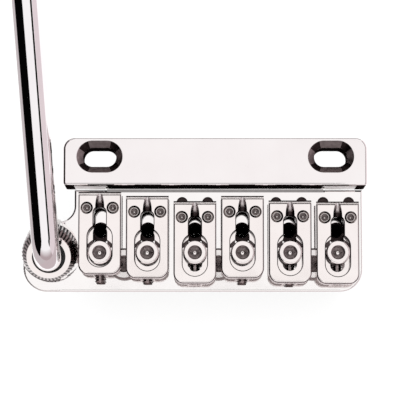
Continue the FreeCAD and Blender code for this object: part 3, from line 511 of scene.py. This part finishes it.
# painted shade on the left flank
flank = inside(tree, (facing["X"], *FLANK_FACING), (place["X"], FLANK_LEFT, FLANK_RIGHT))
lay_over(nickel_plate, flank, "#4A4141", "#2E2727", grain=0.8 * MM, roughness=0.3)
# painted shade behind each string hole
reach = round_string(tree, place, STRING_HOLE_Y - BEHIND_HOLE)
behind_holes = inside(tree, (reach, FROM_AXIS, HOLE_SHADE), (facing["Z"], *UPWARDS))
lay_over(nickel_plate, behind_holes, "#3B3232", "#211A1A", grain=0.6 * MM, roughness=0.3)
ear_rim = inside(tree, (place["X"], EAR_LEFT, EAR_RIGHT), (facing["Z"], *RIM_FACING))
lay_over(nickel_plate, ear_rim, "#FDFAF9", "#F7F2F1", grain=1.2 * MM, roughness=0.55)
darken_bores(nickel_plate, PLATE_BORE)
print("bores are dark in", nickel_plate.name, "too")

# %% [markdown]
# The nut is knurled: a wheel with teeth was pressed into its rim and its cone. The knurl is tinted
# darker and its grooves darker still, both as painted shade. The nut leans with the arm's post,
# so its mask is a distance from that leaning axis: the length of the cross product of a point's
# offset and the axis' direction gives it.
# The angle round that axis, folded by a ping-pong, then tells a groove from a tooth.

# %% The knurled nut
TEETH = 44
HALF_TOOTH = math.pi / TEETH
KNURL_START, KNURL_END = 5.08 * MM, 9 * MM
turning = next(j for j in frame["record"]["behaviour"]["joints"] if j["name"] == "nut_turn")
nickel_nut = metal(
    "nickel_knurled", "#FBF4F2", "#F3EAE8",
    roughness=(0.04, 0.09), cloud=5 * MM, hair=0.2 * MM, along=ALONG_Y, depth=0.06,
)
tree = nickel_nut.node_tree
place = add(tree, "ShaderNodeTexCoord").outputs["Object"]
offset = vectors(tree, "SUBTRACT", place, turning["pos_m"])["Vector"]
crossed = vectors(tree, "CROSS_PRODUCT", offset, turning["axis"])["Vector"]
radius = vectors(tree, "LENGTH", crossed)["Value"]
right = (1, 0, 0)
upright = Vector(turning["axis"]).cross(right)
rise = vectors(tree, "DOT_PRODUCT", offset, upright)["Value"]
run = vectors(tree, "DOT_PRODUCT", offset, right)["Value"]
from_groove = calc(tree, "PINGPONG", calc(tree, "ARCTAN2", rise, run), HALF_TOOTH)
in_knurl = (radius, KNURL_START, KNURL_END)
# painted shade over the knurl
lay_over(nickel_nut, inside(tree, in_knurl), "#B9AFB0", "#8A7F80", grain=0.6 * MM, roughness=0.14)
# more painted shade in the grooves
grooves = inside(tree, in_knurl, (from_groove, FROM_AXIS, HALF_TOOTH / 2))
lay_over(nickel_nut, grooves, "#2A2222", "#140F0F", grain=0.4 * MM, roughness=0.35)
print("the knurl has", TEETH, "teeth and starts", round(KNURL_START / MM, 2), "mm from the axis")

# %% [markdown]
# The sleeve that grips the arm is moulded from black nylon, which is never quite black
# or quite smooth: a fine grain from the mould spreads its highlight.

# %% Moulded nylon
MOULD_GRAIN, MOULD_DEPTH = 0.12 * MM, 0.25
nylon, tree, shader = blank_material("nylon_moulded_black")
grain = noise(tree, add(tree, "ShaderNodeTexCoord").outputs["Object"], MOULD_GRAIN)
relief = add(tree, "ShaderNodeBump", {"Height": grain, "Strength": MOULD_DEPTH, "Distance": RELIEF})
tint = blend(tree, grain, linear("#0B0B0C"), linear("#191919"))
tree.links.new(tint, shader.inputs["Base Color"])
tree.links.new(relief.outputs[0], shader.inputs["Normal"])
shader.inputs["Roughness"].default_value = 0.42
print("nylon grain is", round(MOULD_GRAIN / MM, 2), "mm")

# %% [markdown]
# The key sockets of the screws were punched. They get a darker steel,
# which is painted shade.

# %% Punched sockets
steel_socket = metal(
    "steel_socket_painted_shade", "#A09493", "#6E6362",
    roughness=(0.4, 0.55), cloud=0.6 * MM, hair=0.1 * MM, along=ALONG_Z, depth=0.15,
)
print(steel_socket.name, "is for the key sockets")

# %% [markdown]
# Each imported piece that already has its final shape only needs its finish. A dictionary says which.

# %% Finish the given pieces
finishes = {
    "front_bar": nickel_bar,
    "bridge_plate": nickel_plate,
    "sustain_block": steel_block,
    "hinge_axle": steel_turned,
    "hinge_bushes": brass_turned,
    "arm_socket": steel_turned,
    "arm_collet": nylon,
    "tension_nut": nickel_nut,
    "tremolo_arm": nickel_arm,
}
for number in STRINGS:
    finishes[f"saddle_{number}"] = nickel_saddle
for name, material in finishes.items():
    nodes[name].data.materials.clear()
    nodes[name].data.materials.append(material)
print("finished", len(finishes), "given pieces")

# %% [markdown]
# ## Screws with real threads
# A thread is one V shape carried round and along a screw. A spin with a shift does exactly that:
# a zigzag of edges, several pitches long, is spun once round while it moves up by one pitch.
# The end of the turn then meets the next V of the zigzag, and merging doubles closes the seam.
# Two cuts square to the axis give clean ends, and the vertices near each end are drawn inwards
# to make the chamfer that starts a real thread.

# %% The thread helper
ROUND_STEPS = 42
SPARE_BELOW, SPARE_ABOVE = 2, 1  # turns that the cuts take off again
THREAD_FORM = ((0.0, 0.0), (0.40, 1.0), (0.52, 1.0), (0.90, 0.0))  # in pitches and in depths
MERGE = 0.002 * MM


def thread(bm, radius, depth, pitch, low, high, chamfer):
    """A threaded shank about Z between two heights, open at both ends. Returns its two rims' edges."""
    turns = math.ceil((high - low) / pitch) + SPARE_BELOW + SPARE_ABOVE
    bottom = low - SPARE_BELOW * pitch
    root = radius - depth
    points = []
    for i in range(turns):
        start = bottom + i * pitch
        points += [(root + out * depth, 0, start + share * pitch) for share, out in THREAD_FORM]
    points.append((root, 0, bottom + turns * pitch))
    verts = [bm.verts.new(p) for p in points]
    edges = [bm.edges.new(pair) for pair in zip(verts, verts[1:])]
    bmesh.ops.spin(
        bm,
        geom=verts + edges,
        cent=(0, 0, 0),
        axis=(0, 0, 1),
        dvec=(0, 0, pitch / ROUND_STEPS),
        angle=math.tau,
        steps=ROUND_STEPS,
    )
    bmesh.ops.remove_doubles(bm, verts=bm.verts, dist=MERGE)
    rims = []
    for height, side in ((low, -1), (high, 1)):
        cut = bmesh.ops.bisect_plane(
            bm,
            geom=bm.verts[:] + bm.edges[:] + bm.faces[:],
            plane_co=(0, 0, height),
            plane_no=(0, 0, side),
            clear_outer=True,
        )
        rims.append([g for g in cut["geom_cut"] if isinstance(g, bmesh.types.BMEdge)])
    for vert in bm.verts:
        near = min(vert.co.z - low, high - vert.co.z)
        if near < chamfer:
            widest = radius - (chamfer - near)
            out = math.hypot(vert.co.x, vert.co.y)
            if out > widest:
                vert.co.x *= widest / out
                vert.co.y *= widest / out
    return rims


print("a full turn has", ROUND_STEPS, "steps")

# %% [markdown]
# A screw's ends are made from the thread's rim on: the rim's edges are extruded, and the new loop
# is moved to its own radius and height. Step by step that gives a head, or a socket: a mouth,
# a hexagon a little lower, which leaves the bevel a key slides in by, the hexagon's walls
# and its floor. The socket takes the darker steel of painted shade, and the centre of its floor
# can keep the body's bright finish as a painted highlight.

# %% The key socket and the closed end
SIXTH = math.tau / 6
BODY, SOCKET = 0, 1  # a screw's two material slots
BEVEL_SLOPE = 0.7
DRILLED = ((0.34, 0.03), (0.15, 0.15), (0.09, 0.16), (0.02, 0.165))  # radius and drop in keys


def step(bm, loop, radius, height, flats=0.0, slot=BODY):
    """Extrude a loop to a radius and a height, or to a hexagon where a width across flats is given."""
    old = {v for e in loop for v in e.verts}
    made = bmesh.ops.extrude_edge_only(bm, edges=loop)["geom"]
    fresh = {g for g in made if isinstance(g, bmesh.types.BMVert)} - old
    for vert in fresh:
        turn = math.atan2(vert.co.y, vert.co.x)
        reach = min(radius, flats / 2 / math.cos(turn % SIXTH - SIXTH / 2)) if flats else radius
        vert.co = (reach * math.cos(turn), reach * math.sin(turn), height)
    edges = [e for e in {e for v in fresh for e in v.link_edges} if fresh.issuperset(e.verts)]
    for face in {f for e in edges for f in e.link_faces}:
        face.material_index = slot
    return edges


def cut_socket(bm, loop, top, mouth, key, depth, point=BODY):
    """Close a rim with a flat ring, a bevelled mouth, a hexagon socket and a drilled floor."""
    corner = key / math.sqrt(3)
    floor = top - depth
    loop = step(bm, loop, mouth, top)
    loop = step(bm, loop, corner, top - (mouth - key / 2) * BEVEL_SLOPE, key, SOCKET)
    loop = step(bm, loop, corner, floor, key, SOCKET)
    # where the last two steps take the body's finish, the floor's centre is a painted highlight
    for (share, drop), slot in zip(DRILLED, (SOCKET, SOCKET, point, point)):
        loop = step(bm, loop, key * share, floor - key * drop, 0, slot)
    bmesh.ops.contextual_create(bm, geom=loop)


def close_end(bm, loop, tip_radius, height):
    """Close the far end of a screw with a cone to a small flat."""
    loop = step(bm, loop, tip_radius, height)
    bmesh.ops.contextual_create(bm, geom=loop)


print("a socket's floor takes", len(DRILLED), "steps")

# %% [markdown]
# A finished shape becomes a piece: an object at the origin whose mesh stands where it belongs.
# Its edges are smooth unless they turn by more than an angle. Several shapes can be joined
# to one piece.

# %% From a shape to a piece
SMOOTH_ANGLE = 35


def finish_piece(bm, name, matrix, materials, smooth_angle=SMOOTH_ANGLE):
    """Put a bmesh in its place, and make it an object at the origin with smooth and sharp edges."""
    bmesh.ops.recalc_face_normals(bm, faces=bm.faces)
    bmesh.ops.transform(bm, matrix=matrix, verts=bm.verts)
    for face in bm.faces:
        face.smooth = True
    for edge in bm.edges:
        edge.smooth = edge.calc_face_angle(0) < math.radians(smooth_angle)
    mesh = bpy.data.meshes.new(name)
    bm.to_mesh(mesh)
    bm.free()
    for material in materials:
        mesh.materials.append(material)
    piece = bpy.data.objects.new(name, mesh)
    scene.collection.objects.link(piece)
    return piece


def joined(parts, name, materials):
    """Several finished bmesh shapes as one piece."""
    whole = bmesh.new()
    for bm, matrix in parts:
        bmesh.ops.recalc_face_normals(bm, faces=bm.faces)
        bmesh.ops.transform(bm, matrix=matrix, verts=bm.verts)
        mesh = bpy.data.meshes.new("part")
        bm.to_mesh(mesh)
        bm.free()
        whole.from_mesh(mesh)
        bpy.data.meshes.remove(mesh)
    return finish_piece(whole, name, Matrix.Identity(4), materials)


print("edges are sharp from", SMOOTH_ANGLE, "degrees on")

# %% [markdown]
# A headless screw is a thread with a socket at one end and a blunt tip at the other.
# The height screws stand in the front corners of each saddle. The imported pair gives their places:
# its box runs from the tips to the tops, and from the left screw's side to the right one's.

# %% Height screws
SMALL_RADIUS = 1.2 * MM
SMALL_PITCH = 0.6 * MM  # the real 0.45 mm is too fine to show in the picture
SMALL_DEPTH = 0.24 * MM
SMALL_CHAMFER = 0.22 * MM
SMALL_KEY = 1.3 * MM
SMALL_MOUTH = 0.82 * MM
SMALL_SOCKET = 1.0 * MM


def headless_screw(length, tip_radius, tip):
    """A threaded screw from its tip at zero to its socket at the top."""
    bm = bmesh.new()
    low_rim, high_rim = thread(bm, SMALL_RADIUS, SMALL_DEPTH, SMALL_PITCH, tip, length, SMALL_CHAMFER)
    cut_socket(bm, high_rim, length, SMALL_MOUTH, SMALL_KEY, SMALL_SOCKET)
    close_end(bm, low_rim, tip_radius, 0)
    return bm


for number in STRINGS:
    low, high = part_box(f"height_screws_{number}")
    length = high.z - low.z
    pair = []
    for x in (low.x + SMALL_RADIUS, high.x - SMALL_RADIUS):
        place = Matrix.Translation((x, (low.y + high.y) / 2, low.z))
        pair.append((headless_screw(length, tip_radius=0.7 * MM, tip=0.5 * MM), place))
    piece = joined(pair, f"height_screws_{number}_threaded", [steel_screw, steel_socket])
    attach(piece, f"saddle_feet_{number}")
    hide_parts(f"height_screws_{number}")
print("height screws are", round(length / MM, 2), "mm long")

# %% [markdown]
# The intonation screws lie along the strings behind each saddle, tip forwards.
# The same headless screw is turned to lie down, so that its +Z runs to the rear.

# %% Intonation screws
lie_down = Matrix.Rotation(math.radians(90), 4, "X")
for number in STRINGS:
    low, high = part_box(f"intonation_screw_{number}")
    length = high.y - low.y
    place = Matrix.Translation((string_x(number), high.y, (low.z + high.z) / 2)) @ lie_down
    bm = headless_screw(length, tip_radius=0.5 * MM, tip=0.6 * MM)
    piece = finish_piece(bm, f"intonation_screw_{number}_threaded", place, [steel_stud, steel_socket])
    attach(piece, f"saddle_adjuster_{number}")
    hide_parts(f"intonation_screw_{number}")
print("intonation screws are", round(length / MM, 2), "mm long")

# %% [markdown]
# A clamp screw is a socket head cap screw. Its head is turned, so it is a stack of steps,
# with a small round at the rim. Two steps close together at the round's end keep the shading
# of the flat inside it flat. The shank below the head is threaded.

# %% Clamp screws
HEAD_RADIUS, HEAD_HEIGHT = 2.7 * MM, 3.0 * MM
HEAD_ROUND = ((0, 0.38), (0.06, 0.18), (0.18, 0.06), (0.38, 0), (0.43, 0))  # inwards and down, in mm
HEAD_FOOT = 0.12 * MM
SHANK_CHAMFER = 0.25 * MM
DEPTH_SHARE, TIP_SHARE, MOUTH_SHARE = 0.55, 0.6, 0.648
HEAD_SMOOTH_ANGLE = 30


def cap_screw(reach, shank, pitch, head, height, key, depth, rim=BODY):
    """A cap screw whose head sits on zero and whose shank goes down by a reach."""
    bm = bmesh.new()
    low_rim, loop = thread(bm, shank, DEPTH_SHARE * pitch, pitch, -reach, 0, SHANK_CHAMFER)
    close_end(bm, low_rim, shank * TIP_SHARE, -reach)
    loop = step(bm, loop, head - HEAD_FOOT, 0)
    loop = step(bm, loop, head, HEAD_FOOT)
    for inwards, down in HEAD_ROUND:
        loop = step(bm, loop, head - inwards * MM, height - down * MM, 0, rim)
    cut_socket(bm, loop, height, key * MOUTH_SHARE, key, depth, rim)
    return bm


for number in STRINGS:
    low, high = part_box(f"clamp_screw_{number}")
    seat = high.z - HEAD_HEIGHT
    place = Matrix.Translation((string_x(number), (low.y + high.y) / 2, seat))
    bm = cap_screw(
        seat - low.z, shank=1.5 * MM, pitch=0.5 * MM,
        head=HEAD_RADIUS, height=HEAD_HEIGHT, key=2.5 * MM, depth=1.6 * MM,
    )
    materials = [nickel_saddle, steel_socket]
    piece = finish_piece(bm, f"clamp_screw_{number}_threaded", place, materials, HEAD_SMOOTH_ANGLE)
    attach(piece, "bridge")
    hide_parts(f"clamp_screw_{number}")
print("clamp heads are", round(2 * HEAD_RADIUS / MM, 2), "mm across")

# %% [markdown]
# The three screws that hold the block are the same kind with a wide, low head, so the same function
# makes them. Their rims take the sockets' darker steel as painted shade, for a dark outline.

# %% Block screws
LOW_HEAD = 2.5 * MM
low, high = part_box("block_screws")
wide = (high.y - low.y) / 2
seat = high.z - LOW_HEAD
trio = []
for x in (low.x + wide, (low.x + high.x) / 2, high.x - wide):
    # the rims get the sockets' painted shade
    bm = cap_screw(
        seat - low.z, shank=2.0 * MM, pitch=0.7 * MM,
        head=wide, height=LOW_HEAD, key=3.0 * MM, depth=1.5 * MM, rim=SOCKET,
    )
    trio.append((bm, Matrix.Translation((x, (low.y + high.y) / 2, seat))))
piece = joined(trio, "block_screws_threaded", [steel_cap, steel_socket])
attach(piece, "bridge")
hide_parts("block_screws")
print("block screws' heads are", round(2 * wide / MM, 2), "mm across")

# %% [markdown]
# ## Light and stage
# A mirror shows its surroundings, so lighting polished metal means building what it reflects.
# The floor and the sky are white to the camera and to reflections, and dimmer to all other light.
# Under the block, where its bores stand on the paper, the paper doesn't glow: no light gets in there.

# %% The floor
WHITE = (1, 1, 1, 1)
FLOOR_SIZE, FLOOR_GAP = 3.0, 0.05 * MM
FLOOR_GLOW = 0.8
COVERED = [(-29 * MM, 31 * MM), (-19.5 * MM, -13.5 * MM)]


def seen_directly(tree):
    """1 for rays from the camera, a reflection or through something clear, and 0 for all others."""
    rays = add(tree, "ShaderNodeLightPath").outputs
    return either(tree, rays["Is Camera Ray"], rays["Is Glossy Ray"], rays["Is Transmission Ray"])


bm = bmesh.new()
bmesh.ops.create_grid(bm, x_segments=1, y_segments=1, size=FLOOR_SIZE)
bmesh.ops.translate(bm, verts=bm.verts, vec=(0, 0, cad_box[0][2] - FLOOR_GAP))
paper, tree, shader = blank_material("paper_floor_white")
shader.inputs["Base Color"].default_value = linear("#EFEFEF")
shader.inputs["Roughness"].default_value = 0.9
place = spot_of(tree)[0]
covered = inside(tree, *[(place[axis], *ends) for axis, ends in zip("XY", COVERED)])
share = calc(tree, "MULTIPLY", seen_directly(tree), ramp(tree, covered, 0.0, 1.0, FLOOR_GLOW, 0.0))
glow = add(tree, "ShaderNodeEmission", {"Color": WHITE, "Strength": 1.0})
both = add(tree, "ShaderNodeMixShader", {0: share, 1: shader.outputs[0], 2: glow.outputs[0]})
tree.links.new(both.outputs[0], tree.nodes["Material Output"].inputs["Surface"])
floor = finish_piece(bm, "floor", Matrix.Identity(4), [paper])
print("floor lies at", round(cad_box[0][2] / MM, 2), "mm")

# %% The sky
SKY_LIGHT, SKY_SEEN = 0.55, 1.0
world = bpy.data.worlds.new("white_studio")
scene.world = world
world.use_nodes = True
tree = world.node_tree
level = ramp(tree, seen_directly(tree), 0.0, 1.0, SKY_LIGHT, SKY_SEEN)
tree.links.new(level, tree.nodes["Background"].inputs["Strength"])
tree.nodes["Background"].inputs["Color"].default_value = WHITE
print("the sky lights at", SKY_LIGHT)

# %% [markdown]
# White alone would wash the bridge out, so cards stand round it, as on a product table:
# black on the left and over the lens, warm grey on the right with a black strip above it,
# dark in front, and at the rear a grey one that fades to white. Two grey boards lie on the table
# at the left and the rear. Only reflections see them, and they draw the dark edges
# on the bright metal.
# Each row gives a colour, a place, the turns about X, Y and Z in degrees, a size,
# and the share of the height over which the card fades to white. Lengths are in millimetres here.

# %% Cards for the metal to reflect
ON_TABLE = cad_box[0][2] / MM + 1
CARDS = {
    "card_left": ("#050505", (-300, 0, 240), (0, 90, 0), (570, 900), 0.0),
    "card_right": ("#E6DADD", (330, 0, 120), (0, 90, 0), (330, 900), 0.0),
    "strip_right": ("#0B0808", (330, 0, 400), (0, 90, 0), (190, 900), 0.0),
    "card_neck": ("#4A4141", (0, 420, 60), (90, 0, 0), (560, 210), 0.0),
    "card_rear": ("#B9A9AB", (0, -420, 100), (90, 0, 0), (700, 290), 0.7),
    "card_table_left": ("#C9C2C3", (-190, 0, ON_TABLE), (0, 0, 0), (230, 700), 0.0),
    "card_table": ("#CBBEC0", (0, -250, ON_TABLE), (0, 0, 0), (700, 380), 0.0),
    "card_lens": ("#050505", (-3.5, -62, 505), (0, 0, 0), (130, 110), 0.0),
}
for name, (colour, spot, angles, size, fade) in CARDS.items():
    bm = bmesh.new()
    bmesh.ops.create_grid(bm, x_segments=1, y_segments=1, size=0.5)  # one metre square
    bmesh.ops.scale(bm, vec=(size[0] * MM, size[1] * MM, 1), verts=bm.verts)
    turns = [Matrix.Rotation(math.radians(a), 4, axis) for a, axis in zip(angles, "XYZ")]
    stand = Matrix.Translation(Vector(spot) * MM) @ turns[2] @ turns[1] @ turns[0]
    board, tree = blank_material(f"{name}_board")[:2]
    glow = add(tree, "ShaderNodeEmission", {"Color": linear(colour), "Strength": 1.0})
    if fade:
        top = (spot[2] + size[1] / 2) * MM
        rise = ramp(tree, spot_of(tree)[0]["Z"], top - fade * size[1] * MM, top, 0.0, 1.0)
        tree.links.new(blend(tree, rise, linear(colour), WHITE), glow.inputs["Color"])
    tree.links.new(glow.outputs[0], tree.nodes["Material Output"].inputs["Surface"])
    card = finish_piece(bm, name, stand, [board])
    card.visible_camera = card.visible_diffuse = False
    card.visible_shadow = card.visible_transmission = False
print("stood", len(CARDS), "cards")

# %% [markdown]
# Two soft lamps give the dull places their light. Each row gives a place and a size in millimetres,
# and a power in watts. The metal doesn't mirror them.

# %% Lamps
LAMPS = {
    "lamp_over": ((-60, 120, 620), 520, 6.0),
    "lamp_side": ((420, -260, 380), 300, 2.0),
}
for name, (spot, size, power) in LAMPS.items():
    lamp = bpy.data.lights.new(name, "AREA")
    lamp.size = size * MM
    lamp.energy = power
    holder = bpy.data.objects.new(name, lamp)
    holder.location = Vector(spot) * MM
    holder.rotation_euler = (-holder.location).to_track_quat("-Z", "Y").to_euler()
    holder.visible_camera = False
    holder.visible_glossy = False
    scene.collection.objects.link(holder)
print("hung", len(LAMPS), "lamps")

# %% [markdown]
# ## Camera
# The view is almost straight down, leaning a few degrees to the rear, so the back edge
# of the bar shows. A long lens from half a metre keeps the saddles' sides nearly upright
# in the picture.

# %% The camera
VIEW_LEAN = math.radians(6)
VIEW_DISTANCE = 500 * MM
aim = Vector((-3.49, -10.0, 8.0)) * MM
eye = bpy.data.cameras.new("camera")
eye.lens = 197
eye.sensor_width = 36
camera = bpy.data.objects.new("camera", eye)
camera.location = aim + VIEW_DISTANCE * Vector((0, -math.sin(VIEW_LEAN), math.cos(VIEW_LEAN)))
camera.rotation_euler = (VIEW_LEAN, 0, 0)
scene.collection.objects.link(camera)
scene.camera = camera
scene.view_settings.view_transform = "Standard"
print("camera stands", round(camera.location.z / MM), "mm up")

# %% The end
print("the scene is set up")
